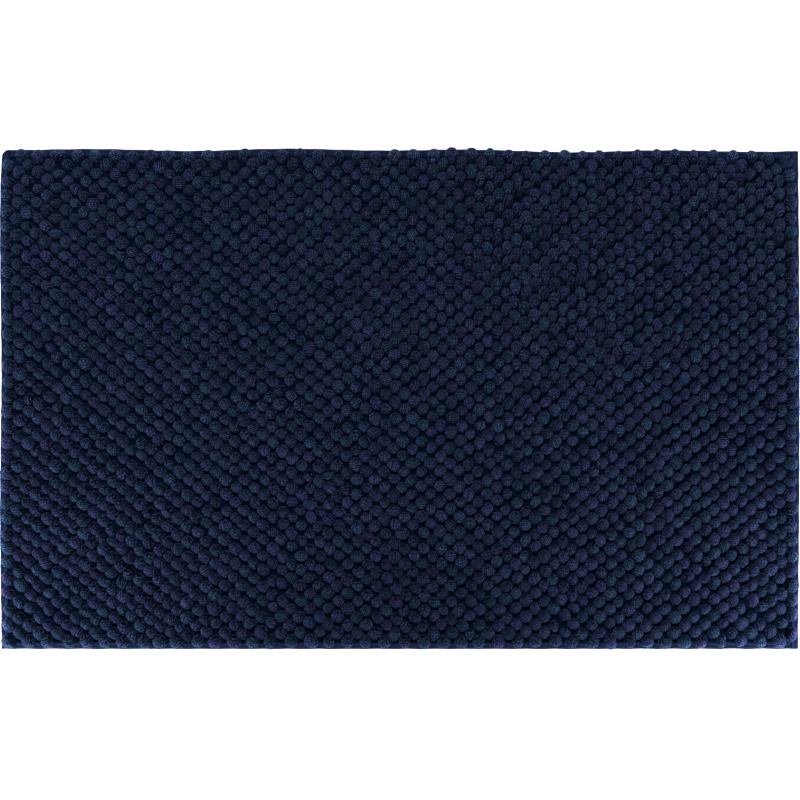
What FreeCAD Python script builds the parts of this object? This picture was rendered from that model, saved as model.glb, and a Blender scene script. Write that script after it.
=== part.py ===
"""Chenille bath mat: a tufted ground cloth with a latex underside, bound with folded tape.

The origin is the centre of the underside. +X runs along the mat's length, +Y across its width and +Z up
through the pile. All sizes are in millimetres.
"""
import FreeCAD, Part
import math
import os
import Sketcher

os.makedirs("parts", exist_ok=True)
doc = FreeCAD.newDocument("bath_mat")
Vector = FreeCAD.Vector

# Driving dimensions: name, value
DIMENSIONS = [
    ("mat_length", 800),  # outer edge to outer edge of the binding, along X
    ("mat_width", 500),  # the same, along Y
    ("backing_thickness", 1.0),  # latex coat
    ("cloth_thickness", 0.8),  # woven ground cloth
    ("tape_thickness", 0.6),  # binding tape
    ("tape_turn", 8),  # how far each side of the folded tape reaches in from the mat's edge
    ("fold_radius", 0.9),  # outside radius of the tape's two folds
    ("butt_gap", 0.2),  # between tape ends, and between the tape and the latex it frames
    ("stitch_inset", 4),  # middle of the stitch line, in from the mat's edge
    ("stitch_end", 3),  # from a tape's end to the first stitch
    ("thread_width", 0.5),
    ("thread_height", 0.25),
    ("thread_play", 0.1),  # on each side of the under thread in its groove
    ("label_length", 36),
    ("label_width", 22),
    ("label_thickness", 0.25),
    ("label_play", 0.2),  # round the label in its recess
    ("label_inset", 60),  # middle of the label, in from the right end of the mat
    ("bobble_diameter", 11.4),
    ("bobble_height", 16),  # from the ground cloth to the top of the dome
    ("dome_height", 5.2),
    ("waist_radius", 2.0),  # where a bobble leaves the cloth
    ("bobble_gap", 0.65),  # between a bobble and its six neighbours
    ("zigzag_angle", 39.1),  # degrees, between a zigzag's legs and the row
    ("root_play", 0.5),  # between the outermost waists and the tape
    ("yarn_width", 2.4),  # yarn laid on the cloth from bobble to bobble
    ("yarn_height", 1.2),
]
sheet = doc.addObject("Spreadsheet::Sheet", "sizes")
for line, (name, value) in enumerate(DIMENSIONS, start=1):
    sheet.set(f"A{line}", name)
    sheet.set(f"B{line}", str(value))
    sheet.setAlias(f"B{line}", name)
doc.recompute()

# Places that follow from the dimensions, as expressions on the sheet
cloth_top = "(sizes.backing_thickness + sizes.cloth_thickness)"
edge_height = f"({cloth_top} + sizes.tape_thickness)"
rim_half_length = "(sizes.mat_length / 2 - sizes.fold_radius)"
rim_half_width = "(sizes.mat_width / 2 - sizes.fold_radius)"
framed_half_length = "(sizes.mat_length / 2 - sizes.tape_turn - sizes.butt_gap)"
framed_half_width = "(sizes.mat_width / 2 - sizes.tape_turn - sizes.butt_gap)"
groove_depth = "(sizes.thread_height + sizes.thread_play / 2)"
label_recess = "(sizes.label_thickness + sizes.label_play / 4)"
leg = "(sizes.bobble_diameter + sizes.bobble_gap)"
half_along = f"({leg} * cos(sizes.zigzag_angle * 1 deg))"
half_across = f"({leg} * sin(sizes.zigzag_angle * 1 deg))"
pile_margin = "(sizes.tape_turn + sizes.root_play + sizes.waist_radius)"
pair_count = f"floor(((sizes.mat_length - 2 * {pile_margin}) / {half_along} + 1) / 2)"
row_count = f"floor(((sizes.mat_width - 2 * {pile_margin}) / {half_across} + 1) / 2)"


def number(expression):
    """The value of an expression on the sheet."""
    return float(sheet.evalExpression(expression))


def origin_feature(body, role):
    """A plane or an axis of the body's own origin."""
    return next(f for f in body.Origin.OriginFeatures if f.Role == role)


def new_body(name, x="0", y="0", z="0", turn=None):
    """An empty body whose origin stands at the expressions x, y, z, turned by the rotation `turn`."""
    body = doc.addObject("PartDesign::Body", name)
    body.Label = name
    if turn:
        body.Placement = FreeCAD.Placement(Vector(), turn)
    for letter, expression in (("x", x), ("y", y), ("z", z)):
        body.setExpression(f"Placement.Base.{letter}", expression)
    return body


def outline(body, name, role, corners, arcs=None, offset=("0", "0", "0")):
    """A closed sketch through the corners, which run counter-clockwise as (x, y) expressions.

    arcs gives, for the side that starts at a corner, its radius and +1 where it bulges outwards or -1 inwards.
    offset moves the sketch along its own x, y and normal.
    """
    sketch = body.newObject("Sketcher::SketchObject", name)
    sketch.AttachmentSupport = [(origin_feature(body, role), "")]
    sketch.MapMode = "FlatFace"
    for letter, expression in zip("xyz", offset):
        sketch.setExpression(f"AttachmentOffset.Base.{letter}", expression)
    points = [Vector(number(x), number(y), 0) for x, y in corners]
    sides = []
    for i, start in enumerate(points):
        end = points[(i + 1) % len(points)]
        radius, bulge = (arcs or {}).get(i, (None, 1))
        if radius is None:
            side = Part.LineSegment(start, end)
        else:
            chord = end - start
            rise = math.sqrt(max(number(radius) ** 2 - chord.Length**2 / 4, 0))
            centre = (start + end) / 2 + bulge * rise * Vector(-chord.y, chord.x, 0).normalize()
            first, last = (start, end) if bulge > 0 else (end, start)
            angles = [math.atan2(p.y - centre.y, p.x - centre.x) for p in (first, last)]
            circle = Part.Circle(centre, Vector(0, 0, 1), number(radius))
            side = Part.ArcOfCircle(circle, angles[0], angles[1])
        index = sketch.addGeometry(side)
        sides.append((index, 1, 2) if bulge > 0 else (index, 2, 1))
        if radius is not None:
            bound = sketch.addConstraint(Sketcher.Constraint("Radius", index, number(radius)))
            sketch.setExpression(f"Constraints[{bound}]", radius)
    for i, (index, first, _) in enumerate(sides):
        before, _, last = sides[i - 1]
        sketch.addConstraint(Sketcher.Constraint("Coincident", before, last, index, first))
        for kind, expression in zip(("DistanceX", "DistanceY"), corners[i]):
            value = number(expression)
            bound = sketch.addConstraint(Sketcher.Constraint(kind, -1, 1, index, first, value))
            sketch.setExpression(f"Constraints[{bound}]", expression)
    return sketch


def rectangle(body, name, role, low, high, offset=("0", "0", "0")):
    """A rectangular sketch from its low corner to its high corner."""
    corners = [low, (high[0], low[1]), high, (low[0], high[1])]
    return outline(body, name, role, corners, offset=offset)


def pad(body, name, sketch, length, both_ways=False):
    """Material over the sketch, along its normal or half to each side."""
    feature = body.newObject("PartDesign::Pad", name)
    feature.Profile = sketch
    feature.Midplane = both_ways
    feature.setExpression("Length", length)
    body.Tip = feature
    return feature


def pocket(body, name, sketch, depth, both_ways=False):
    """A cut over the sketch, along its normal's far side or half to each side; it has to remove material."""
    doc.recompute()
    before = body.Shape.Volume
    feature = body.newObject("PartDesign::Pocket", name)
    feature.Profile = sketch
    feature.Midplane = both_ways
    feature.setExpression("Length", depth)
    body.Tip = feature
    doc.recompute()
    if feature.Shape.Volume >= before - 1e-6:
        raise RuntimeError(f"{body.Label}: {name} cuts nothing")
    return feature


def row_pattern(body, name, features, step, count):
    """Copies of the features along X, `step` apart."""
    pattern = body.newObject("PartDesign::LinearPattern", name)
    pattern.Originals = features
    pattern.Direction = (origin_feature(body, "X_Axis"), [""])
    pattern.Mode = "Spacing"
    pattern.setExpression("Offset", step)
    pattern.setExpression("Occurrences", count)
    body.Tip = pattern
    return pattern


def turned_about_z(degrees):
    return FreeCAD.Rotation(Vector(0, 0, 1), degrees)


# Base cloth: a woven ground cloth, cut to lie inside the folds of the binding.


def add_base_cloth():
    body = new_body("base_cloth", z="sizes.backing_thickness")
    low = (f"-{rim_half_length}", f"-{rim_half_width}")
    sheet_of_cloth = rectangle(body, "cloth_outline", "XY_Plane", low, (rim_half_length, rim_half_width))
    pad(body, "cloth", sheet_of_cloth, "sizes.cloth_thickness")
    return body


# Anti-slip backing: a latex coat. Its thin rim goes into the binding, its full thickness meets the floor, and a
# shallow recess takes the care label.


def add_anti_slip_backing():
    body = new_body("anti_slip_backing")
    low = (f"-{rim_half_length}", f"-{rim_half_width}")
    rim = rectangle(
        body,
        "rim_outline",
        "XY_Plane",
        low,
        (rim_half_length, rim_half_width),
        offset=("0", "0", "sizes.tape_thickness"),
    )
    pad(body, "rim", rim, "sizes.backing_thickness - sizes.tape_thickness")
    low = (f"-{framed_half_length}", f"-{framed_half_width}")
    sole = rectangle(body, "sole_outline", "XY_Plane", low, (framed_half_length, framed_half_width))
    pad(body, "sole", sole, "sizes.tape_thickness")
    middle = "(sizes.mat_length / 2 - sizes.label_inset)"
    reach = "(sizes.label_length / 2 + sizes.label_play)"
    recess = rectangle(
        body,
        "label_recess_outline",
        "XY_Plane",
        (f"{middle} - {reach}", f"-{framed_half_width}"),
        (f"{middle} + {reach}", f"-{framed_half_width} + sizes.label_width + sizes.label_play"),
    )
    pocket(body, "label_recess", recess, f"2 * {label_recess}", both_ways=True)
    return body


# Binding: tape folded round the edge, one length for each side. The side tapes run the mat's full width with their
# ends tucked in, and the long tapes butt against them.


def add_binding(name, length, slot_length, x, y, turn):
    """One tape. Its outer fold stands on the body's origin and its two flanges reach towards +Y."""
    body = new_body(name, x=x, y=y, turn=turn)
    top_fold = f"{edge_height} - sizes.fold_radius"
    outside = [
        ("sizes.fold_radius", "0"),
        ("sizes.tape_turn", "0"),
        ("sizes.tape_turn", edge_height),
        ("sizes.fold_radius", edge_height),
        ("0", top_fold),
        ("0", "sizes.fold_radius"),
    ]
    folds = {3: ("sizes.fold_radius", 1), 5: ("sizes.fold_radius", 1)}
    pad(body, "tape", outline(body, "tape_outside", "YZ_Plane", outside, folds), length, both_ways=True)
    inner_radius = "(sizes.fold_radius - sizes.tape_thickness)"
    mouth = "sizes.tape_turn"
    inside = [
        ("sizes.fold_radius", "sizes.tape_thickness"),
        (mouth, "sizes.tape_thickness"),
        (mouth, cloth_top),
        ("sizes.fold_radius", cloth_top),
        ("sizes.tape_thickness", top_fold),
        ("sizes.tape_thickness", "sizes.fold_radius"),
    ]
    turns = {3: (inner_radius, 1), 5: (inner_radius, 1)}
    slot = outline(body, "tape_inside", "YZ_Plane", inside, turns)
    pocket(body, "slot", slot, slot_length, both_ways=True)
    reach = "(sizes.thread_width / 2 + sizes.thread_play)"
    run = f"({length}) / 2 - sizes.stitch_end"
    groove = rectangle(
        body,
        "stitch_groove_outline",
        "XY_Plane",
        (f"-({run})", f"sizes.stitch_inset - {reach}"),
        (run, f"sizes.stitch_inset + {reach}"),
    )
    pocket(body, "stitch_groove", groove, f"2 * {groove_depth}", both_ways=True)
    return body


# Stitching: a lockstitch through each tape. The needle thread lies on top, and the bobbin thread lies underneath in
# the groove that it pulls into the tape, clear of the floor.


def add_thread(name, tape_length, x, y, z, turn):
    """One run of thread along X, pulled flat, centred on the body's origin and standing up from it."""
    body = new_body(name, x=x, y=y, z=z, turn=turn)
    reach = f"(({tape_length}) / 2 - sizes.stitch_end)"
    half_width = "sizes.thread_width / 2"
    low = (f"-{reach}", f"-{half_width}")
    pad(body, "run", rectangle(body, "run_outline", "XY_Plane", low, (reach, half_width)), "sizes.thread_height")
    return body


# Care label: a blank woven label in the recess of the backing, its sewn end against the front binding.


def add_care_label():
    body = new_body(
        "care_label",
        x="sizes.mat_length / 2 - sizes.label_inset",
        y=f"-{framed_half_width}",
        z=f"{label_recess} - sizes.label_thickness",
    )
    half = "sizes.label_length / 2"
    shape = rectangle(body, "label_outline", "XY_Plane", (f"-{half}", "0"), (half, "sizes.label_width"))
    pad(body, "label", shape, "sizes.label_thickness")
    return body


# Pile rows: each is one pass of chenille yarn that zigzags along the mat, with a domed bobble at every turn.


def add_bobble(body, name, x, y):
    """A bobble: it flares from a narrow waist and ends in a dome, turned about its own upright axis."""
    radius = "sizes.bobble_diameter / 2"
    profile = [
        ("0", "0"),
        ("sizes.waist_radius", "0"),
        (radius, "sizes.bobble_height - sizes.dome_height"),
        ("0", "sizes.bobble_height"),
    ]
    dome_radius = f"((({radius})^2 + sizes.dome_height^2) / (2 * sizes.dome_height))"
    # The sketch's normal points towards -Y
    place = (x, "0", f"-({y})")
    sketch = outline(body, f"{name}_profile", "XZ_Plane", profile, {2: (dome_radius, 1)}, place)
    bobble = body.newObject("PartDesign::Revolution", name)
    bobble.Profile = sketch
    bobble.ReferenceAxis = (sketch, ["V_Axis"])
    bobble.Angle = 360
    body.Tip = bobble
    return bobble


def add_yarn_leg(body, name, start, end):
    """Yarn laid flat between two neighbouring bobbles."""
    half = "sizes.yarn_width / 2"
    corners = [
        (start[0], f"{start[1]} - {half}"),
        (end[0], f"{end[1]} - {half}"),
        (end[0], f"{end[1]} + {half}"),
        (start[0], f"{start[1]} + {half}"),
    ]
    return pad(body, name, outline(body, f"{name}_outline", "XY_Plane", corners), "sizes.yarn_height")


def new_row_body(index):
    """An empty body for row `index`, counted from 0 at the front edge, at the left end of the row's axis."""
    first_y = f"(1 - {row_count}) * {half_across}"
    return new_body(
        f"pile_row_{index + 1:02d}",
        x=f"(1 - 2 * {pair_count}) * {half_along} / 2",
        y=f"{first_y} + {2 * index} * {half_across}",
        z=cloth_top,
    )


def add_first_row():
    """The row at the front edge. Its bobbles stand by turns half a zigzag in front of its axis and behind it."""
    body = new_row_body(0)
    near = ("0", f"(-{half_across} / 2)")
    far = (half_along, f"({half_across} / 2)")
    next_near = (f"2 * {half_along}", near[1])
    features = [
        add_bobble(body, "near_bobble", *near),
        add_bobble(body, "far_bobble", *far),
        add_yarn_leg(body, "leg_out", near, far),
    ]
    row_pattern(body, "pairs", features, f"2 * {half_along}", pair_count)
    leg_back = add_yarn_leg(body, "leg_back", far, next_near)
    row_pattern(body, "legs_back", [leg_back], f"2 * {half_along}", f"{pair_count} - 1")
    return body


def add_next_row(index, first_row):
    """A further row: the same pass of yarn again, one row further back."""
    body = new_row_body(index)
    body.BaseFeature = first_row
    return body


bodies = [add_base_cloth(), add_anti_slip_backing(), add_care_label()]

long_tape = f"(2 * {framed_half_length})"
side_tape = "sizes.mat_width"
side_slot = "sizes.mat_width - 2 * sizes.tape_thickness"
half_length = "sizes.mat_length / 2"
half_width = "sizes.mat_width / 2"
SIDES = [
    # side, tape, slot, x and y of the mat's edge there, degrees that turn +Y inwards, x and y of the inward step
    ("front", long_tape, long_tape, "0", f"-{half_width}", 0, (0, 1)),
    ("right", side_tape, side_slot, half_length, "0", 90, (-1, 0)),
    ("back", long_tape, long_tape, "0", half_width, 180, (0, -1)),
    ("left", side_tape, side_slot, f"-{half_length}", "0", -90, (1, 0)),
]
over = FreeCAD.Rotation(Vector(1, 0, 0), 180)
for side, tape, slot, x, y, degrees, (step_x, step_y) in SIDES:
    turn = turned_about_z(degrees)
    bodies.append(add_binding(f"binding_{side}", tape, slot, x, y, turn))
    stitch_x = f"{x} + ({step_x}) * sizes.stitch_inset"
    stitch_y = f"{y} + ({step_y}) * sizes.stitch_inset"
    bodies.append(add_thread(f"needle_thread_{side}", tape, stitch_x, stitch_y, edge_height, turn))
    bodies.append(add_thread(f"bobbin_thread_{side}", tape, stitch_x, stitch_y, groove_depth, turn * over))

first_row = add_first_row()
bodies.append(first_row)
bodies += [add_next_row(index, first_row) for index in range(1, int(number(row_count)))]

doc.recompute()
for item in doc.Objects:
    if "Invalid" in item.State or "Error" in item.State:
        raise RuntimeError(f"{item.Label} failed: {item.State}")
for body in bodies:
    if body.Shape.isNull() or not body.Shape.isValid() or len(body.Shape.Solids) != 1:
        raise RuntimeError(f"{body.Label} is not one valid solid")

for body in bodies:
    body.Shape.exportStep(f"parts/{body.Label}.step")
print(len(bodies), "pieces,", int(2 * number(pair_count)), "bobbles in a row")
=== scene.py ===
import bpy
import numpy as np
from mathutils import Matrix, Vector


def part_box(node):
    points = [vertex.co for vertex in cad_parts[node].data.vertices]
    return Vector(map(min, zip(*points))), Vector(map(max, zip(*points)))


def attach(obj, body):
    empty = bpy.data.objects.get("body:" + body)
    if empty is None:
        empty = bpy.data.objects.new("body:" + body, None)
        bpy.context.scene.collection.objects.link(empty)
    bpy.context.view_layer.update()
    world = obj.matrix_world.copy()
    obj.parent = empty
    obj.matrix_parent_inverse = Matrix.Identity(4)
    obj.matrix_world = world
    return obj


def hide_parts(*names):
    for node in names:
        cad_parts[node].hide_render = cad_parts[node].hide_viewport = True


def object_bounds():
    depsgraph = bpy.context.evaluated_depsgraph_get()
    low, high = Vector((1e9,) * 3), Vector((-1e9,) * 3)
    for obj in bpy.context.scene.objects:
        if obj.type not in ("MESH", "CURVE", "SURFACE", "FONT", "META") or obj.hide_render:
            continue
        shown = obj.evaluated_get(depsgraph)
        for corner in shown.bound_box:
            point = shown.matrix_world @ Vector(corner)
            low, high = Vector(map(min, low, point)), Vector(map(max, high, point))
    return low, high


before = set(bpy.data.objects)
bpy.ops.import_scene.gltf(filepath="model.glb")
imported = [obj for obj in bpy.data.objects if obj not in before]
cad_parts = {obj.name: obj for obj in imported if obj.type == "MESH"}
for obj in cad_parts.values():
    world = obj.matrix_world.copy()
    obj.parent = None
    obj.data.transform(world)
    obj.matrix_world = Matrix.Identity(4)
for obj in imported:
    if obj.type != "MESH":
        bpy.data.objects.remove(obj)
cad_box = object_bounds()

# A chenille bobble bath mat, 800 x 500 mm, put together as it is made: ground cloth, latex, pile, binding,
# stitching and label. Everything is in metres, in the CAD model's frame.

# The studio: a pale floor under one wide soft light, four small bluish lights low at the mat's corners that
# rake its pile, and a camera straight above, far enough up that the pile hardly leans away from the middle.

CAMERA_HEIGHT = 4.5
PICTURE_WIDTH = 0.8003  # at the level below, about halfway up the pile
PICTURE_LEVEL = 0.01
RAKING_COLOUR = (0.85, 0.9, 1)
MAT_LOW, MAT_HIGH = np.array(cad_box[0]), np.array(cad_box[1])
MAT_LENGTH, MAT_WIDTH = MAT_HIGH[0] - MAT_LOW[0], MAT_HIGH[1] - MAT_LOW[1]

camera_data = bpy.data.cameras.new("camera")
camera_data.sensor_width = 36
camera_data.lens = camera_data.sensor_width * (CAMERA_HEIGHT - PICTURE_LEVEL) / PICTURE_WIDTH
camera_data.clip_end = 50
camera = bpy.data.objects.new("camera", camera_data)
camera.location = (0.0003, -0.0004, CAMERA_HEIGHT)
bpy.context.scene.collection.objects.link(camera)
bpy.context.scene.camera = camera
bpy.context.scene.view_settings.view_transform = "Standard"
bpy.context.scene.view_settings.look = "None"


def add_light(name, place, size, watts, colour=(1, 1, 1)):
    """A square softbox at a place, facing the middle of the mat."""
    data = bpy.data.lights.new(name, "AREA")
    data.shape = "SQUARE"
    data.size = size
    data.energy = watts
    data.color = colour
    light = bpy.data.objects.new(name, data)
    light.location = place
    towards = -np.array(place) / np.linalg.norm(place)
    light.rotation_euler = (np.arccos(-towards[2]), 0, np.arctan2(towards[1], towards[0]) - np.pi / 2)
    bpy.context.scene.collection.objects.link(light)


add_light("overhead_softbox", (-0.3, 0.6, 2.6), 1.0, 78)
add_light("front_left_softbox", (-0.64, -0.43, 0.17), 0.25, 11.5, RAKING_COLOUR)
add_light("front_right_softbox", (0.64, -0.43, 0.17), 0.25, 12.5, RAKING_COLOUR)
add_light("back_left_softbox", (-0.64, 0.46, 0.2), 0.25, 2.5, RAKING_COLOUR)
add_light("back_right_softbox", (0.64, 0.46, 0.2), 0.25, 2.5, RAKING_COLOUR)

world = bpy.data.worlds.new("studio")
world.use_nodes = True
world.node_tree.nodes["Background"].inputs["Color"].default_value = (1, 1, 1, 1)
world.node_tree.nodes["Background"].inputs["Strength"].default_value = 0.25
bpy.context.scene.world = world

bpy.ops.mesh.primitive_plane_add(size=12)
floor = bpy.context.object
floor.name = "studio_floor"


def maths(operation, *operands):
    """The Math node that works out an operation on values and numbers, taken in the order of its sockets."""
    tree = next(operand.tree for operand in operands if isinstance(operand, Value))
    node = tree.nodes.new("ShaderNodeMath")
    node.operation = operation
    for slot, operand in zip(node.inputs, operands):
        if isinstance(operand, Value):
            tree.links.new(operand.socket, slot)
        else:
            slot.default_value = operand
    return Value(tree, node.outputs[0])


class Value:
    """A socket in a sum: each operator adds the Math node that works it out."""

    def __init__(self, tree, socket):
        self.tree, self.socket = tree, socket

    def wave(self):
        return maths("SINE", self)

    def __add__(self, other):
        return maths("ADD", self, other)

    def __radd__(self, other):
        return maths("ADD", other, self)

    def __sub__(self, other):
        return maths("SUBTRACT", self, other)

    def __rsub__(self, other):
        return maths("SUBTRACT", other, self)

    def __mul__(self, other):
        return maths("MULTIPLY", self, other)

    def __rmul__(self, other):
        return maths("MULTIPLY", other, self)

    def __pow__(self, power):
        return maths("POWER", self, power)


class Finish:
    """A material being mixed: one Principled shader and the nodes that feed it."""

    def __init__(self, name, shine=0.0, **constants):
        self.material = bpy.data.materials.new(name)
        self.material.use_nodes = True
        self.tree = self.material.node_tree
        self.shader = self.tree.nodes["Principled BSDF"]
        self.shader.inputs["Specular IOR Level"].default_value = shine
        for socket, value in constants.items():
            self.shader.inputs[socket.replace("_", " ").title()].default_value = value

    def node(self, kind, settings=None, inputs=None, output=0):
        """A node of a type: its settings first, then its sockets' values or links; returns one output."""
        node = self.tree.nodes.new("ShaderNode" + kind)
        for key, value in (settings or {}).items():
            setattr(node, key, value)
        for slot, value in (inputs or {}).items():
            if isinstance(value, Value):
                self.tree.links.new(value.socket, node.inputs[slot])
            else:
                node.inputs[slot].default_value = value
        return Value(self.tree, node.outputs[output])

    def attribute(self, name):
        return self.node("Attribute", {"attribute_name": name}, output="Vector")

    def place(self):
        return self.node("TexCoord", output="Object")

    def parts(self, vector):
        """A vector's x, y and z as values."""
        return [self.node("SeparateXYZ", inputs={0: vector}, output=axis) for axis in range(3)]

    def noise(self, vector, scale, detail=2.0, roughness=0.5):
        return self.node(
            "TexNoise",
            inputs={"Vector": vector, "Scale": scale, "Detail": detail, "Roughness": roughness},
        )

    def spread(self, value, low, high, new_low=0.0, new_high=1.0):
        """A value's range low to high, stretched to a new range and held inside it."""
        return self.node(
            "MapRange",
            inputs={"Value": value, 1: low, 2: high, 3: new_low, 4: new_high},
        )

    def mixed(self, share, first, second):
        """Two colours mixed by a share from 0 to 1."""
        return self.node("Mix", {"data_type": "RGBA"}, {0: share, 6: first, 7: second}, output=2)

    def dimmed(self, colour, value):
        """A colour times a value."""
        return self.node("VectorMath", {"operation": "SCALE"}, {0: colour, "Scale": value})

    def colour(self, value):
        self.tree.links.new(value.socket, self.shader.inputs["Base Color"])

    def bump(self, height, strength, distance):
        relief = self.node("Bump", inputs={"Height": height, "Strength": strength, "Distance": distance})
        self.tree.links.new(relief.socket, self.shader.inputs["Normal"])


paper = Finish("pale_studio_floor", roughness=0.9)
mottle = paper.noise(paper.place(), 3.0)
paper.colour(paper.mixed(mottle, (0.86, 0.86, 0.86, 1), (0.88, 0.88, 0.88, 1)))
floor.data.materials.append(paper.material)

# The ground cloth: a plain-woven cloth, navy like the yarn, cut to the mat's outline less the binding's
# folds. It lies between the latex and the pile, and follows the slight unevenness of a mat put down by hand.

BACK_EDGE_WAVES = [(0.0009, 0.030, -0.9), (0.0006, 0.071, 2.2)]  # height, length over two pi, phase
BACK_EDGE_SLANT = 0.0024
RIGHT_SIDE_BULGE, RIGHT_SIDE_INSET = 0.0014, 0.0006
LEFT_SIDE_WAVE, LEFT_WAVE_LENGTH, LEFT_WAVE_PHASE = 0.0007, 0.045, 1.0
LEFT_CORNER_DRAW, LEFT_DRAW_REACH = 0.0022, 0.014
CORNER_ROUNDING = 0.006  # of the back left corner, where the fold is drawn in


def nearing(share, start):
    """0 up to the start, a share of the mat's size, and from there rising as a square to 1 at the edge."""
    return np.clip((share - start) / (0.5 - start), 0, 1) ** 2


def laid_by_hand(points):
    """Points of a dead straight mat, moved to where it really lies.

    The back edge waves by a sum of sines and slants forwards to the right, and this fades out a tenth of a
    metre in from the edge. The right side bulges as half a cosine. The left side waves as a sine, and an
    exponential draws it in towards the back corner. At that corner, points inside the last square go towards
    the square's inner corner, by the ratio of their larger offset from it to their distance from it, which
    makes the square a quarter disc.
    """
    moved = np.array(points, dtype=float)
    x, y = moved[..., 0].copy(), moved[..., 1].copy()
    wave = sum(high * np.sin(x / long + phase) for high, long, phase in BACK_EDGE_WAVES)
    moved[..., 1] += nearing(y / MAT_WIDTH, 0.3) * (wave - BACK_EDGE_SLANT * x / MAT_LENGTH)
    bulge = RIGHT_SIDE_BULGE * np.cos(np.pi * y / MAT_WIDTH) - RIGHT_SIDE_INSET
    moved[..., 0] += nearing(x / MAT_LENGTH, 0.35) * bulge
    inwards = LEFT_SIDE_WAVE * np.sin(y / LEFT_WAVE_LENGTH + LEFT_WAVE_PHASE)
    inwards += LEFT_CORNER_DRAW * np.exp((y - MAT_HIGH[1]) / LEFT_DRAW_REACH)
    moved[..., 0] += nearing(-x / MAT_LENGTH, 0.35) * inwards
    past_x = MAT_LOW[0] + CORNER_ROUNDING - x
    past_y = y - MAT_HIGH[1] + CORNER_ROUNDING
    in_corner = (past_x > 0) & (past_y > 0)
    drawn_in = 1 - np.maximum(past_x, past_y) / np.maximum(np.hypot(past_x, past_y), 1e-9)
    moved[..., 0] += np.where(in_corner, past_x * drawn_in, 0)
    moved[..., 1] -= np.where(in_corner, past_y * drawn_in, 0)
    return moved


def mesh_piece(name, points, faces, finish, smooth=True, replaces=()):
    """A finished piece at the origin from its points and faces, riding on the mat's one body."""
    mesh = bpy.data.meshes.new(name)
    mesh.from_pydata(points.tolist(), [], [tuple(face) for face in faces])
    mesh.polygons.foreach_set("use_smooth", np.full(len(mesh.polygons), smooth))
    mesh.materials.append(finish.material)
    mesh.update()
    piece = bpy.data.objects.new(name, mesh)
    bpy.context.scene.collection.objects.link(piece)
    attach(piece, "root")
    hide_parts(*replaces)
    return piece


def slab(top, bottom):
    """A closed skin from an upper and a lower grid of points, (rows, columns, 3), joined at their rims."""
    rows, columns = top.shape[:2]
    index = np.arange(rows * columns).reshape(rows, columns)
    below = index + rows * columns
    corner = (index[:-1, :-1], index[:-1, 1:], index[1:, 1:], index[1:, :-1])
    faces = [np.stack([c.ravel() for c in corner], axis=1)]
    faces.append(faces[0][:, ::-1] + rows * columns)
    rim = np.concatenate([index[0], index[1:, -1], index[-1, -2::-1], index[-2:0:-1, 0]])
    after = np.roll(rim, -1)
    under, under_after = below.ravel()[rim], below.ravel()[after]
    faces.append(np.stack([rim, under, under_after, after], axis=1))
    return np.concatenate([top.reshape(-1, 3), bottom.reshape(-1, 3)]), np.concatenate(faces)


def flat_grid(low, high, step):
    """A level grid of points from corner to corner, about a step apart, at the height of the low corner."""
    across = np.linspace(low[0], high[0], int(round((high[0] - low[0]) / step)) + 1)
    along = np.linspace(low[1], high[1], int(round((high[1] - low[1]) / step)) + 1)
    y, x = np.meshgrid(along, across, indexing="ij")
    return np.stack([x, y, np.full_like(x, low[2])], axis=-1)


WEAVE_TURNS = 5200  # radians a metre, a thread each 1.2 mm

woven = Finish("navy_ground_cloth", roughness=0.9)
warp, weft, _ = woven.parts(woven.place())
threads = (warp * WEAVE_TURNS).wave() * (weft * WEAVE_TURNS).wave()
fibre = woven.noise(woven.place(), 2500)
cloth_colour = woven.mixed(fibre, (0.0014, 0.0052, 0.015, 1), (0.0026, 0.0082, 0.023, 1))
woven.colour(woven.dimmed(cloth_colour, 0.8 + 0.2 * threads))
woven.bump(threads + fibre, 0.5, 0.0002)

cloth_low, cloth_high = (np.array(corner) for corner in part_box("base_cloth"))
cloth_bottom = flat_grid(cloth_low, cloth_high, 0.008)
cloth_top = cloth_bottom + (0, 0, cloth_high[2] - cloth_low[2])
points, faces = slab(laid_by_hand(cloth_top), laid_by_hand(cloth_bottom))
ground_cloth = mesh_piece("ground_cloth", points, faces, woven, False, ["base_cloth"])

# The anti-slip backing: latex foamed onto the underside. It locks the yarn, whose zigzag back stitches show
# through it as low ridges, and it grips the floor.

row_boxes = [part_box(name) for name in sorted(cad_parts) if name.startswith("pile_row_")]
ROW_COUNT = len(row_boxes)
BOBBLE_RADIUS = 0.0057
row_centres = np.array([(low[1] + high[1]) / 2 for low, high in row_boxes])
ROW_STEP = (row_centres[-1] - row_centres[0]) / (ROW_COUNT - 1)
FIRST_X = row_boxes[0][0][0] + BOBBLE_RADIUS
LAST_X = row_boxes[0][1][0] - BOBBLE_RADIUS
BOBBLES_IN_ROW = 84
HALF_STEP = (LAST_X - FIRST_X) / (BOBBLES_IN_ROW - 1)

SOLE_RIM = 0.0006  # how far the latex stops above the floor where the binding takes it in
RIDGE_HEIGHT = 0.0004
RIDGE_HALF_WIDTH = 0.002
LABEL_RECESS = 0.00045  # how far the latex stands off the floor over the label
LABEL_MARGIN = 0.0035

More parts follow.
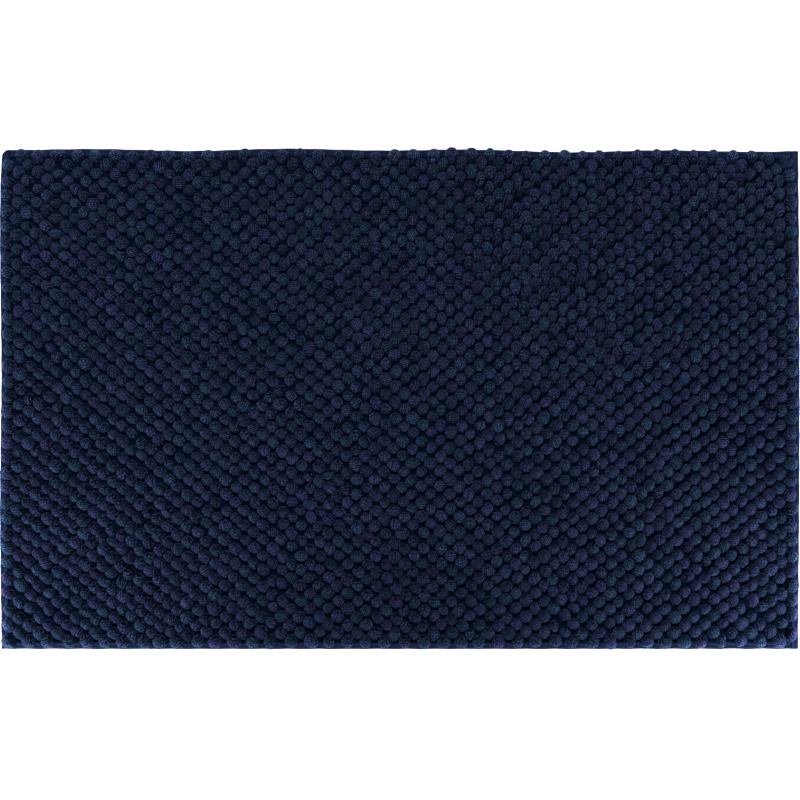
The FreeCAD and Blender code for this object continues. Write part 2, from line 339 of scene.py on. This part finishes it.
latex = Finish("dark_foamed_latex", shine=0.3, roughness=0.62)
pits = latex.node("TexVoronoi", inputs={"Vector": latex.place(), "Scale": 900.0})
cloud = latex.noise(latex.place(), 60, 4)
x, y, _ = latex.parts(latex.place())
zigzag = (maths("PINGPONG", (x - FIRST_X) * (1 / HALF_STEP), 1) - 0.5) * (ROW_STEP / 2)
off_ridge = maths("WRAP", y - row_centres[0] - zigzag, ROW_STEP / 2, -ROW_STEP / 2)
ridge = maths("EXPONENT", off_ridge * off_ridge * (-1 / RIDGE_HALF_WIDTH**2))
foam = latex.mixed(cloud, (0.024, 0.036, 0.070, 1), (0.040, 0.056, 0.10, 1))
foam = latex.mixed(ridge * 0.8, foam, (0.010, 0.017, 0.042, 1))
latex.colour(latex.dimmed(foam, latex.spread(pits, 0.0, 0.6, 0.7, 1.1)))
latex.bump(pits + 0.4 * latex.noise(latex.place(), 1500) + 2 * ridge, 0.6, 0.0003)

backing_low, backing_high = (np.array(corner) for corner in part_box("anti_slip_backing"))
TAPE_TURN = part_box("binding_left")[1][0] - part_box("binding_left")[0][0]
label_low, label_high = (np.array(corner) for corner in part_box("care_label"))
label_middle, label_half = (label_low + label_high) / 2, (label_high - label_low) / 2


def sole_height(points):
    """The underside's height above the floor.

    A triangle wave gives the yarn's zigzag. The sole dips to the floor along it by a bell curve of the
    distance, and steps up into the binding round the rim and over the label.
    """
    x, y = points[..., 0], points[..., 1]
    phase = np.abs(((x - FIRST_X) / HALF_STEP) % 2 - 1)
    zigzag = (0.5 - phase) * ROW_STEP / 2
    off = (y - row_centres[0] - zigzag + ROW_STEP / 2) % ROW_STEP - ROW_STEP / 2
    height = RIDGE_HEIGHT * (1 - np.exp(-((off / RIDGE_HALF_WIDTH) ** 2)))
    past_label_x = np.abs(x - label_middle[0]) - label_half[0]
    past_label_y = np.abs(y - label_middle[1]) - label_half[1]
    height = np.where(np.maximum(past_label_x, past_label_y) < LABEL_MARGIN, LABEL_RECESS, height)
    inside = np.minimum(MAT_LENGTH / 2 - np.abs(x), MAT_WIDTH / 2 - np.abs(y)) > TAPE_TURN
    return np.where(inside, height, SOLE_RIM)


sole = flat_grid(backing_low, backing_high, 0.003)
sole[..., 2] = sole_height(sole)
roof = sole.copy()
roof[..., 2] = backing_high[2]
points, faces = slab(laid_by_hand(roof), laid_by_hand(sole))
latex_backing = mesh_piece(
    "latex_backing", points, faces, latex, True, ["anti_slip_backing"]
)

# The pile: chenille yarn tufted through the ground cloth in zigzag passes. Each tuft is a soft bobble on a
# narrow root. The bobbles press on their neighbours, lean the way the nap was stroked, and splay out along
# the edges.

RINGS = 6
SEGMENTS = 12
PROFILE_RISE = np.array([0.0, 0.22, 0.45, 0.66, 0.84, 0.955])  # how far up the tuft each ring stands
PROFILE_RADIUS = np.array([0.46, 0.80, 0.97, 1.0, 0.82, 0.45])  # of the bobble's own radius
HEAD_RISE = 0.66  # where the bobble is widest
LEAN_CURVE = 1.4  # the power by which the spine leans over below the head
TIP_FOLLOW = 1.25  # how far the tip goes over above the head, against an even slope
FULLNESS = 1.045  # of a laid bobble, against the CAD model's
RADIUS_SPREAD = 0.075
OVAL_SPREAD = 0.05
HEIGHT_SHARE, HEIGHT_SPREAD = 0.97, 0.035
LEAN_SPREAD = 0.0011
FRONT_TOUSLE, FRONT_TOUSLE_REACH = 0.9, 0.05  # the front edge's bobbles lean about more
PATCH_LEAN, PATCH_LENGTHS = 0.0011, (0.037, 0.061)
PRESS_SOFTNESS = 0.00035
PRESS_GAP = 0.00012
EDGE_SPLAY = 0.0034
EDGE_SPLAY_REACH = 0.010
EDGE_PLUMPNESS = 0.12  # bobbles along the edges have room to fill out
EDGE_LIMIT = 0.0068  # no bobble's middle comes nearer to the mat's edge
BACK_EDGE_LIMIT = 0.0048
EDGE_BOBBLES_IN = 0.0105  # from the mat's edge to the middles of the outermost bobbles
EAR_PULL, EAR_REACH = 0.0078, 0.025  # the pile stands back from the ear of tape at the back right corner
BINDING_TOP = 0.0032  # above the floor, at the plump rim of the tape
CLOSE_PACKING = 0.97  # of two radii: heads nearer than this push each other off
SETTLING_STEPS = 30
SETTLING_PUSH, SETTLING_PULL = 0.28, 0.06
RING_WOBBLE = 0.022
# Where the nap was stroked: x, y, how far the stroke reaches, which way and how far it lays the bobbles
# over, and by what share and at what angle it draws them out
NAP_STROKES = [
    (-0.30, -0.13, 0.16, -0.0030, -0.0030, 0.24, -40),
    (-0.30, 0.12, 0.13, -0.0030, 0.0024, 0.12, -40),
    (-0.08, -0.10, 0.12, -0.0012, -0.0010, 0.10, -35),
    (0.00, 0.16, 0.12, -0.0004, 0.0030, 0.08, 95),
    (0.20, 0.15, 0.15, 0.0004, 0.0062, 0.14, 90),
    (0.34, 0.12, 0.12, 0.0012, 0.0034, 0.10, 70),
    (0.30, -0.12, 0.16, 0.0016, -0.0004, 0.04, 40),
    (0.08, -0.18, 0.10, 0.0004, -0.0020, 0.04, -40),
]
LYING_LOOPS_X = -0.341  # a short column of wider loops by the back left corner
LYING_LOOPS_FROM_Y = 0.150
LYING_LOOPS_STRIP = 0.0055  # half its width
LYING_LOOPS_DRAW = 0.35
LYING_LOOPS_REACH = 1.2  # of their radius, where they push their neighbours
DARKER_PATCH = (0.0, -0.19, 0.16, 0.07)  # a patch where the pile's colour is darker: x, y, and how far each way
PATCH_DARKENING = 0.22
random = np.random.default_rng(41)

row, place_in_row = np.divmod(np.arange(ROW_COUNT * BOBBLES_IN_ROW), BOBBLES_IN_ROW)
roots = np.stack(
    [
        FIRST_X + place_in_row * HALF_STEP,
        row_centres[row] + np.where(place_in_row % 2 == 0, -1, 1) * ROW_STEP / 4,
    ],
    axis=1,
)
count = len(roots)
CLOTH_TOP = row_boxes[0][0][2]
PILE_HEIGHT = row_boxes[0][1][2] - CLOTH_TOP

tousled = 1 + FRONT_TOUSLE * np.exp(-(roots[:, 1] - MAT_LOW[1]) / FRONT_TOUSLE_REACH)
lean = random.normal(0, LEAN_SPREAD, (count, 2)) * tousled[:, None]
total = np.full(count, 0.25)
stroked = np.zeros((count, 4))
for x, y, reach, lay_x, lay_y, draw, degrees in NAP_STROKES:
    share = np.exp(-(((roots - (x, y)) / reach) ** 2).sum(axis=1))
    doubled = 2 * np.radians(degrees)
    stroked += share[:, None] * (lay_x, lay_y, draw * np.cos(doubled), draw * np.sin(doubled))
    total += share
stroked /= np.maximum(total, 1)[:, None]
lean += stroked[:, :2]
lean += PATCH_LEAN * np.sin(roots[:, [1, 0]] / PATCH_LENGTHS[0] + roots / PATCH_LENGTHS[1] + (0.4, 2.0))
outermost = np.zeros(count)
for axis, half in ((0, MAT_LENGTH / 2), (1, MAT_WIDTH / 2)):
    from_edge = half - np.abs(roots[:, axis]) - EDGE_BOBBLES_IN
    splay = EDGE_SPLAY * np.exp(-from_edge / EDGE_SPLAY_REACH)
    lean[:, axis] = lean[:, axis] * (1 - splay / EDGE_SPLAY / 2) + np.sign(roots[:, axis]) * splay
    outermost = np.maximum(outermost, splay / EDGE_SPLAY)
to_ear = np.hypot(roots[:, 0] - MAT_HIGH[0], roots[:, 1] - MAT_HIGH[1])
near_ear = np.exp(-((to_ear / EAR_REACH) ** 2))[:, None]
lean += near_ear * (-EAR_PULL - lean)

radius = BOBBLE_RADIUS * FULLNESS * (1 + random.normal(0, RADIUS_SPREAD, count).clip(-0.15, 0.15))
radius *= 1 + EDGE_PLUMPNESS * outermost
lying = (np.abs(roots[:, 0] - LYING_LOOPS_X) < LYING_LOOPS_STRIP) & (roots[:, 1] > LYING_LOOPS_FROM_Y)
lying &= place_in_row % 2 == 1
stroked[:, 2:] += random.normal(0, OVAL_SPREAD, (count, 2))
stroked[lying, 2:] = (LYING_LOOPS_DRAW, 0)
drawn_out = np.hypot(stroked[:, 2], stroked[:, 3])
drawn_way = np.arctan2(stroked[:, 3], stroked[:, 2]) / 2
drawn_way = np.stack([np.cos(drawn_way), np.sin(drawn_way)], axis=1)
height = PILE_HEIGHT * (HEIGHT_SHARE + random.normal(0, HEIGHT_SPREAD, count).clip(-0.08, 0.03))
height[lying] *= 0.95


def nearest(places, how_many):
    """The indices of each place's nearest neighbours."""
    away = ((places[:, None, :] - places[None, :, :]) ** 2).sum(axis=2)
    np.fill_diagonal(away, np.inf)
    return np.argpartition(away, how_many, axis=1)[:, :how_many]


# The heads settle: each is pushed off the neighbours it overlaps, and drawn back to where it leans
wanted = roots + lean
heads = wanted.copy()
limit_low = MAT_LOW[:2] + EDGE_LIMIT
limit_high = MAT_HIGH[:2] - (EDGE_LIMIT, BACK_EDGE_LIMIT)
reach_of = radius * np.where(lying, LYING_LOOPS_REACH, 1.0)
neighbours = nearest(heads, 8)
for _ in range(SETTLING_STEPS):
    gap = heads[:, None, :] - heads[neighbours]
    distance = np.linalg.norm(gap, axis=2)
    overlap = np.clip(CLOSE_PACKING * (reach_of[:, None] + reach_of[neighbours]) - distance, 0, None)
    push = (gap / distance[..., None] * overlap[..., None]).sum(axis=1)
    heads = heads + SETTLING_PUSH * push + SETTLING_PULL * (wanted - heads)
    heads = np.clip(heads, limit_low, limit_high)
lean = heads - roots

bend = np.where(
    PROFILE_RISE < HEAD_RISE,
    (PROFILE_RISE / HEAD_RISE) ** LEAN_CURVE,
    1 + (PROFILE_RISE - HEAD_RISE) / HEAD_RISE * TIP_FOLLOW,
)
TIP_BEND = 1 + (1 - HEAD_RISE) / HEAD_RISE * TIP_FOLLOW
over = np.linalg.norm(lean, axis=1) * TIP_BEND
upright = np.sqrt(np.clip(height**2 - over**2, 0.3 * PILE_HEIGHT**2, None))
turn = np.linspace(0, 2 * np.pi, SEGMENTS, endpoint=False)

# Each tuft is a stack of rings along its bent spine: ring centres, (bobble, ring, 3), the way the spine
# points there, and two ways across it, stretched along the drawn-out way
spine = np.empty((count, RINGS, 3))
spine[..., :2] = roots[:, None, :] + lean[:, None, :] * bend[None, :, None]
spine[..., 2] = CLOTH_TOP + upright[:, None] * PROFILE_RISE
along = np.gradient(spine, axis=1)
along[:, 0] = (0, 0, 1)
along /= np.linalg.norm(along, axis=2, keepdims=True)
side = np.stack([along[..., 2], np.zeros_like(along[..., 2]), -along[..., 0]], axis=-1)
side /= np.linalg.norm(side, axis=2, keepdims=True)
other = np.cross(along, side)
ring_radius = radius[:, None] * PROFILE_RADIUS
wobble = 1 + random.normal(0, RING_WOBBLE, (count, RINGS, SEGMENTS))
around = side[:, :, None, :] * np.cos(turn)[:, None] + other[:, :, None, :] * np.sin(turn)[:, None]
drawn_way = drawn_way[:, None, None]
along_draw = (around[..., :2] * drawn_way).sum(axis=3, keepdims=True) * drawn_way
around[..., :2] *= (1 / (1 + drawn_out))[:, None, None, None]
around[..., :2] += along_draw * (1 + drawn_out - 1 / (1 + drawn_out))[:, None, None, None]
rings = spine[:, :, None, :] + around * (ring_radius[..., None] * wobble)[..., None]
tips = spine[:, -1] + along[:, -1] * (height * (1 - PROFILE_RISE[-1]))[:, None]
feet = spine[:, 0]

# Neighbours press flats on each other: a point that passes the plane halfway to a neighbour is held back to
# it, with a soft minimum so that the rim of the flat stays round
neighbours = nearest(heads, 8)
for k in range(neighbours.shape[1]):
    towards = spine[neighbours[:, k], :, :2] - spine[:, :, :2]
    apart = np.linalg.norm(towards, axis=2)
    towards /= apart[..., None]
    limit = apart / 2 + (radius[:, None] - radius[neighbours[:, k]][:, None]) / 2 - PRESS_GAP
    reach = ((rings[..., :2] - spine[:, :, None, :2]) * towards[:, :, None, :]).sum(axis=3)
    held = -PRESS_SOFTNESS * np.logaddexp(-reach / PRESS_SOFTNESS, -limit[..., None] / PRESS_SOFTNESS)
    rings[..., :2] += (held - reach)[..., None] * towards[:, :, None, :]

# The flank of a bobble that leans far rests on the cloth, or on the binding where it reaches over that
from_edge = np.minimum(MAT_LENGTH / 2 - np.abs(rings[..., 0]), MAT_WIDTH / 2 - np.abs(rings[..., 1]))
resting = np.interp(from_edge, [TAPE_TURN, TAPE_TURN + 0.001], [BINDING_TOP, CLOTH_TOP])
rings[:, 1:, :, 2] = np.maximum(rings[:, 1:, :, 2], resting[:, 1:])

tuft_points = np.concatenate([rings.reshape(count, -1, 3), tips[:, None], feet[:, None]], axis=1)
tuft_points = laid_by_hand(tuft_points)
POINTS_IN_TUFT = tuft_points.shape[1]

# The yarn's fibres cross each bobble in parallel lines. Their pattern's coordinates are the bobble's own,
# unbent: they turn and start differently on every tuft, and hardly change along the fibres
FIBRE_STRETCH = 0.16
fibre_turn = random.uniform(0, np.pi, count)
swing = (turn - fibre_turn[:, None])[:, None, :]
tuft_rise = np.broadcast_to((height[:, None] * PROFILE_RISE)[..., None], (count, RINGS, SEGMENTS))
across_fibres = ring_radius[..., None] * np.cos(swing)
along_fibres = FIBRE_STRETCH * ring_radius[..., None] * np.sin(swing)
fibre_place = np.stack([across_fibres, along_fibres, FIBRE_STRETCH * tuft_rise], axis=-1)
fibre_place = np.concatenate([fibre_place.reshape(count, -1, 3), np.zeros((count, 2, 3))], axis=1)
fibre_place[:, -2, 2] = FIBRE_STRETCH * height
fibre_place += random.uniform(0, 1, (count, 1, 3))

# Painted light on the yarn's colour: painted shade darkens each tuft down towards its root, between its
# neighbours, and painted highlights lighten the crown, by how far the skin faces up, and the outer flank of
# the edge bobbles, by how far it is past their middles. The whole is darker again in a patch towards the
# front middle
PAINTED_LIGHT_BY_RISE = ([0, 0.22, 0.45, 0.66, 0.84, 1], [0.14, 0.22, 0.38, 0.62, 1, 1.34])
PAINTED_LIGHT_AT_TIP, PAINTED_LIGHT_AT_FOOT = 1.4, 0.05
PAINTED_LIGHT_AT_EDGE, EDGE_FLANK = 2.6, 0.0065
around_ring = np.roll(rings, -1, axis=2) - np.roll(rings, 1, axis=2)
skin = np.cross(around_ring, np.gradient(rings, axis=1))
facing_up = np.clip(skin[..., 2] / np.linalg.norm(skin, axis=3), 0, 1)
painted_light = np.interp(PROFILE_RISE, *PAINTED_LIGHT_BY_RISE)[:, None]
painted_light = painted_light + 0.6 * facing_up * np.clip(1 - painted_light, 0, 1)
past_sides = np.abs(rings[..., :2]) - (MAT_LENGTH / 2, MAT_WIDTH / 2)
past_edge = past_sides.max(axis=-1) + EDGE_BOBBLES_IN
painted_light = np.maximum(painted_light, PAINTED_LIGHT_AT_EDGE * np.clip(past_edge / EDGE_FLANK, 0, 1) ** 2)
ends = np.broadcast_to([PAINTED_LIGHT_AT_TIP, PAINTED_LIGHT_AT_FOOT], (count, 2))
painted_light = np.concatenate([painted_light.reshape(count, -1), ends], axis=1)
# The pile's colour is darker in a patch towards the front middle, by a bell curve
patch_x, patch_y, patch_long, patch_wide = DARKER_PATCH
in_darker_patch = np.exp(-(((roots[:, 0] - patch_x) / patch_long) ** 2) - ((roots[:, 1] - patch_y) / patch_wide) ** 2)
painted_light *= 1 - PATCH_DARKENING * in_darker_patch[:, None]
tuft_look = np.stack(
    [
        np.broadcast_to(random.uniform(0, 1, (count, 1)), (count, POINTS_IN_TUFT)),
        np.broadcast_to(random.uniform(0, 1, (count, 1)), (count, POINTS_IN_TUFT)),
        painted_light,
    ],
    axis=-1,
)

ring_index = np.arange(RINGS * SEGMENTS).reshape(RINGS, SEGMENTS)
ring_next = np.roll(ring_index, -1, axis=1)
tuft_sides = np.stack([ring_index[:-1], ring_next[:-1], ring_next[1:], ring_index[1:]], axis=-1)
tuft_sides = tuft_sides.reshape(-1, 4)
TIP, FOOT = RINGS * SEGMENTS, RINGS * SEGMENTS + 1
tuft_tops = np.stack([ring_index[-1], ring_next[-1], np.full(SEGMENTS, TIP)], axis=-1)
tuft_bottoms = np.stack([ring_next[0], ring_index[0], np.full(SEGMENTS, FOOT)], axis=-1)

TEAL_NAVY = (0.0030, 0.0120, 0.0225, 1)
VIOLET_NAVY = (0.0066, 0.0080, 0.0262, 1)
PALE_STRAND_AND_HIGHLIGHT = (0.0160, 0.0175, 0.0340, 1)
STRANDS = 3500  # radians a metre, a strand each 1.8 mm
TWISTS = 14000  # in the stretched pattern, a twist each 2.8 mm along a strand

chenille = Finish("navy_chenille", roughness=1.0, sheen_weight=0.10, sheen_roughness=0.35)
chenille.shader.inputs["Sheen Tint"].default_value = (0.3, 0.38, 0.9, 1)
# The third value is painted light: painted shade towards the roots, painted highlights on the crowns and the
# edge bobbles' outer flanks
shade, hue, painted_light = chenille.parts(chenille.attribute("tuft_look"))
fibre_coordinates = chenille.attribute("fibre_place")
fibre_x, fibre_y, _ = chenille.parts(fibre_coordinates)
drift = chenille.noise(fibre_coordinates, 420, 2.5, 0.6)
fibres = 0.5 + 0.5 * (fibre_x * STRANDS + drift * 9).wave()
twist = 0.7 + 0.3 * (fibre_y * TWISTS + drift * 20).wave()
fuzz = chenille.noise(chenille.place(), 1300, 2)
navy = chenille.mixed(hue, TEAL_NAVY, VIOLET_NAVY)
# Each strand lightens and pales towards its peak, partly the yarn's own fibre pattern and partly a painted
# highlight on it
strand = fibres * twist
navy = chenille.mixed(0.6 * strand**2, navy, PALE_STRAND_AND_HIGHLIGHT)
strand_pattern_and_highlight = 0.28 + 2.6 * strand**2.5
fuzz_light = chenille.spread(fuzz, 0.3, 0.7, 0.4, 1.6)
chenille.colour(chenille.dimmed(navy, strand_pattern_and_highlight * painted_light * (0.78 + 0.44 * shade) * fuzz_light))
chenille.bump(strand + 0.35 * fuzz, 0.8, 0.0006)

ROWS_IN_PIECE = 2
for first in range(0, ROW_COUNT, ROWS_IN_PIECE):
    chosen = np.flatnonzero((row >= first) & (row < first + ROWS_IN_PIECE))
    offsets = (np.arange(len(chosen)) * POINTS_IN_TUFT)[:, None, None]
    faces = [
        face
        for kind in (tuft_sides, tuft_tops, tuft_bottoms)
        for face in (kind[None] + offsets).reshape(-1, kind.shape[1]).tolist()
    ]
    nodes = [f"pile_row_{first + k + 1:02d}" for k in range(ROWS_IN_PIECE)]
    piece = mesh_piece(
        f"pile_rows_{first + 1:02d}_{first + ROWS_IN_PIECE:02d}",
        tuft_points[chosen].reshape(-1, 3),
        faces,
        chenille,
        True,
        nodes,
    )
    for name, values in (("fibre_place", fibre_place), ("tuft_look", tuft_look)):
        attribute = piece.data.attributes.new(name, "FLOAT_VECTOR", "POINT")
        attribute.data.foreach_set("vector", values[chosen].astype(np.float32).ravel())

# The binding: woven tape folded round the edge and sewn through. Its rim is plump, the stitch line pulls a
# groove into it, and each needle hole makes a small dimple. The side tapes run full width, the long ones
# butt between.

STITCH_INSET = 0.004
STITCH_STEP = 0.004
TAPE_THICKNESS = 0.0006
EDGE_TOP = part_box("binding_front")[1][2]
DIMPLE_DEPTH, DIMPLE_WIDTH = 0.00022, 0.0011
RIPPLE = 0.00012
END_FOLD_LENGTH = 0.002
# The tape's middle line, from its lower inner edge round the fold to its upper inner edge: inwards, up
TAPE_LINE = np.array(
    [
        (0.0079, 0.0003),
        (0.0060, 0.0003),
        (0.0040, 0.00065),
        (0.0022, 0.0003),
        (0.0011, 0.0004),
        (0.0004, 0.0009),
        (0.00025, 0.0016),
        (0.0005, 0.0024),
        (0.0012, 0.0029),
        (0.0022, 0.0029),
        (0.0031, 0.0025),
        (0.0040, 0.0020),
        (0.0049, 0.0023),
        (0.0060, 0.0025),
        (0.0070, 0.0024),
        (0.0079, 0.0022),
    ]
)


def smooth_line(line, steps):
    """A Catmull-Rom curve through the line's points, with a number of steps between each two."""
    padded = np.concatenate([2 * line[:1] - line[1:2], line, 2 * line[-1:] - line[-2:-1]])
    s = np.linspace(0, 1, steps, endpoint=False)[:, None]
    spans = [
        0.5 * (2 * b + (c - a) * s + (2 * a - 5 * b + 4 * c - d) * s**2 + (3 * b - a - 3 * c + d) * s**3)
        for a, b, c, d in zip(padded[:-3], padded[1:-2], padded[2:-1], padded[3:])
    ]
    return np.concatenate(spans + [line[-1:]])


def tape_points(length, end_fold):
    """A tape along x, its fold at y = 0 and its flanges towards +y: two grids, (along, across, 3) each.

    The first grid is the outer skin and the second the inner: the middle line moved out and in by half the
    tape's thickness. The stitch line is lowered at each needle hole by a cosine along the tape times a bell
    curve across it, and sines ripple the rim. end_fold draws the last few millimetres together.
    """
    line = smooth_line(TAPE_LINE, 2)
    slope = np.gradient(line, axis=0)
    slope /= np.linalg.norm(slope, axis=1, keepdims=True)
    outwards = np.stack([-slope[:, 1], slope[:, 0]], axis=1)
    if outwards[0, 1] > 0:
        outwards = -outwards
    x = np.linspace(-length / 2, length / 2, int(round(length / STITCH_STEP * 5)) + 1)
    skins = []
    for sign in (1, -1):
        y_z = line + sign * outwards * TAPE_THICKNESS / 2
        grid = np.empty((len(x), len(line), 3))
        grid[..., 0] = x[:, None]
        grid[..., 1:] = y_z[None]
        upper = np.arange(len(line)) > len(line) // 2
        dimple = np.exp(-(((grid[..., 1] - STITCH_INSET) / DIMPLE_WIDTH) ** 2)) * upper
        grid[..., 2] -= dimple * DIMPLE_DEPTH * (1 + np.cos(2 * np.pi * x / STITCH_STEP))[:, None]
        ripple = RIPPLE * np.sin(x / 0.0031 + 0.7) + RIPPLE * np.sin(x / 0.0113)
        grid[..., 2] += ripple[:, None] * upper * np.clip(1 - grid[..., 1] / TAPE_TURN, 0, 1)
        grid[..., 1] += 0.00015 * np.sin(x / 0.0047)[:, None] * ~upper
        if end_fold:
            past = np.clip((np.abs(x) - length / 2 + END_FOLD_LENGTH) / END_FOLD_LENGTH, 0, 1)[:, None]
            grid[..., 2] += (EDGE_TOP / 2 - grid[..., 2]) * 0.55 * past**2
        skins.append(grid)
    return skins


def turned(points, degrees, centre):
    """Points turned about the upright axis and moved to a centre."""
    angle = np.radians(degrees)
    x = points[..., 0] * np.cos(angle) - points[..., 1] * np.sin(angle) + centre[0]
    y = points[..., 0] * np.sin(angle) + points[..., 1] * np.cos(angle) + centre[1]
    return np.stack([x, y, points[..., 2]], axis=-1)


tape_cloth = Finish("navy_binding_tape", shine=0.02, roughness=0.6, sheen_weight=0.08, sheen_roughness=0.35)
tape_cloth.shader.inputs["Sheen Tint"].default_value = (0.3, 0.4, 0.8, 1)
x, y, _ = tape_cloth.parts(tape_cloth.place())
twill = 0.5 * ((x + y) * 5600).wave() + 0.25 * ((x - y) * 2900).wave()
yarns = tape_cloth.noise(tape_cloth.place(), 1400, 3)
worn = tape_cloth.noise(tape_cloth.place(), 40, 3)
tape_colour = tape_cloth.mixed(worn, (0.0046, 0.0104, 0.031, 1), (0.0070, 0.0136, 0.039, 1))
# Painted shade: the upper flange is darker towards its inner part, where the pile shades it
painted_shade_factor = tape_cloth.parts(tape_cloth.attribute("tape_painted_shade"))[0]
tape_cloth.colour(tape_cloth.dimmed(tape_colour, (0.55 + 0.6 * yarns + 0.15 * twill) * painted_shade_factor))
tape_cloth.bump(twill + yarns, 0.35, 0.0002)

SIDES = [
    ("front", 0, (0, MAT_LOW[1])),
    ("right", 90, (MAT_HIGH[0], 0)),
    ("back", 180, (0, MAT_HIGH[1])),
    ("left", -90, (MAT_LOW[0], 0)),
]
for name, degrees, centre in SIDES:
    node = f"binding_{name}"
    low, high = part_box(node)
    length = max(high[0] - low[0], high[1] - low[1])
    outer, inner = tape_points(length, end_fold=degrees % 180 != 0)
    skins = [laid_by_hand(turned(skin, degrees, centre)) for skin in (outer, inner)]
    points, faces = slab(*skins)
    tape = mesh_piece(f"tape_{name}", points, faces, tape_cloth, True, [node])
    # Painted shade: the upper flange darkens inwards, where it lies in the pile's shade
    upper = (outer[..., 2] > EDGE_TOP / 2) & (outer[..., 1] > STITCH_INSET)
    painted_shade_in = np.where(upper, np.interp(outer[..., 1], [STITCH_INSET, TAPE_TURN], [1, 0.2]), 1)
    look = np.zeros((2, painted_shade_in.size, 3), dtype=np.float32)
    look[..., 0] = painted_shade_in.ravel()
    tape_painted_shade = tape.data.attributes.new("tape_painted_shade", "FLOAT_VECTOR", "POINT")
    tape_painted_shade.data.foreach_set("vector", look.ravel())

# The stitching: a lockstitch in navy polyester. The needle thread shows on top as a row of short grains in
# the groove, and the bobbin thread shows underneath in the same places.

GRAIN_RISE = np.array([0.0, 0.16, 0.5, 0.84, 1.0])  # along a stitch
GRAIN_WIDTH = np.array([0.0, 0.72, 1.0, 0.72, 0.0])
GRAIN_SIDES = 6
STITCH_LENGTH = 0.0034
THREAD_WIDTH = 0.0006
STITCHES_SHORT_OF_ENDS = 0.006
NEEDLE_HEIGHT, NEEDLE_SAG = EDGE_TOP - 0.0002, 0.00035
BOBBIN_HEIGHT, BOBBIN_SAG = 0.0003, -0.0001


def stitch_grains(length, height, sag):
    """Stitches in a row along x: each is a circle carried along a parabola, its radius that of a spindle."""
    number = int((length - STITCHES_SHORT_OF_ENDS) / STITCH_STEP)
    middles = (np.arange(number) - (number - 1) / 2) * STITCH_STEP
    angle = np.linspace(0, 2 * np.pi, GRAIN_SIDES, endpoint=False)
    s = GRAIN_RISE[1:-1]
    ring = np.empty((len(s), GRAIN_SIDES, 3))
    ring[..., 0] = ((s - 0.5) * STITCH_LENGTH)[:, None]
    ring[..., 1] = GRAIN_WIDTH[1:-1, None] * np.cos(angle) * THREAD_WIDTH / 2
    ring[..., 2] = GRAIN_WIDTH[1:-1, None] * np.sin(angle) * THREAD_WIDTH / 2
    ring[..., 2] -= (sag * (2 * s - 1) ** 2)[:, None]
    ends = np.array([(-STITCH_LENGTH / 2, 0, -sag), (STITCH_LENGTH / 2, 0, -sag)])
    one = np.concatenate([ring.reshape(-1, 3), ends])
    every = np.repeat(one[None], number, axis=0)
    every[..., 0] += middles[:, None]
    every[..., 1] += STITCH_INSET
    every[..., 2] += height
    index = np.arange(ring.shape[0] * GRAIN_SIDES).reshape(-1, GRAIN_SIDES)
    after = np.roll(index, -1, axis=1)
    sides = np.stack([index[:-1], index[1:], after[1:], after[:-1]], axis=-1).reshape(-1, 4)
    last = index.size
    first_cap = np.stack([index[0], after[0], np.full(GRAIN_SIDES, last)], axis=-1)
    last_cap = np.stack([after[-1], index[-1], np.full(GRAIN_SIDES, last + 1)], axis=-1)
    offsets = (np.arange(number) * len(one))[:, None, None]
    faces = [
        face
        for kind in (sides, first_cap, last_cap)
        for face in (kind[None] + offsets).reshape(-1, kind.shape[1]).tolist()
    ]
    return every, faces


polyester = Finish("navy_sewing_thread", shine=0.15, roughness=0.45)
x, y, z = polyester.parts(polyester.place())
plies = 0.5 + 0.5 * ((x + y + z) * 9000).wave()
lint = polyester.noise(polyester.place(), 3000)
thread_colour = polyester.mixed(lint, (0.009, 0.018, 0.055, 1), (0.02, 0.034, 0.09, 1))
polyester.colour(polyester.dimmed(thread_colour, 0.6 + 0.5 * plies))
polyester.bump(plies, 0.5, 0.0001)

for name, degrees, centre in SIDES:
    low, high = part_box(f"binding_{name}")
    length = max(high[0] - low[0], high[1] - low[1])
    for kind, height, sag in (("needle", NEEDLE_HEIGHT, NEEDLE_SAG), ("bobbin", BOBBIN_HEIGHT, BOBBIN_SAG)):
        points, faces = stitch_grains(length, height, sag)
        points = laid_by_hand(turned(points, degrees, centre)).reshape(-1, 3)
        nodes = [f"{kind}_thread_{name}"]
        mesh_piece(f"{kind}_stitches_{name}", points, faces, polyester, True, nodes)

# The care label: a blank scrap of white satin tape on the underside, its end sewn in with the front binding.

satin = Finish("blank_satin_label", shine=0.4, roughness=0.4, sheen_weight=0.15)
x, _, _ = satin.parts(satin.place())
floats = 0.5 + 0.5 * (x * 9000).wave()
satin.colour(satin.mixed(satin.noise(satin.place(), 300), (0.7, 0.7, 0.68, 1), (0.8, 0.8, 0.78, 1)))
satin.bump(floats, 0.3, 0.0001)
label_bottom = flat_grid(label_low, label_high, 0.001)
curl = 0.00006 * np.sin(label_bottom[..., 0] / 0.0031) * np.sin(label_bottom[..., 1] / 0.0043)
label_bottom[..., 2] += curl
label_top = label_bottom + (0, 0, label_high[2] - label_low[2])
points, faces = slab(label_top, label_bottom)
label = mesh_piece("sewn_in_label", points, faces, satin, True, ["care_label"])
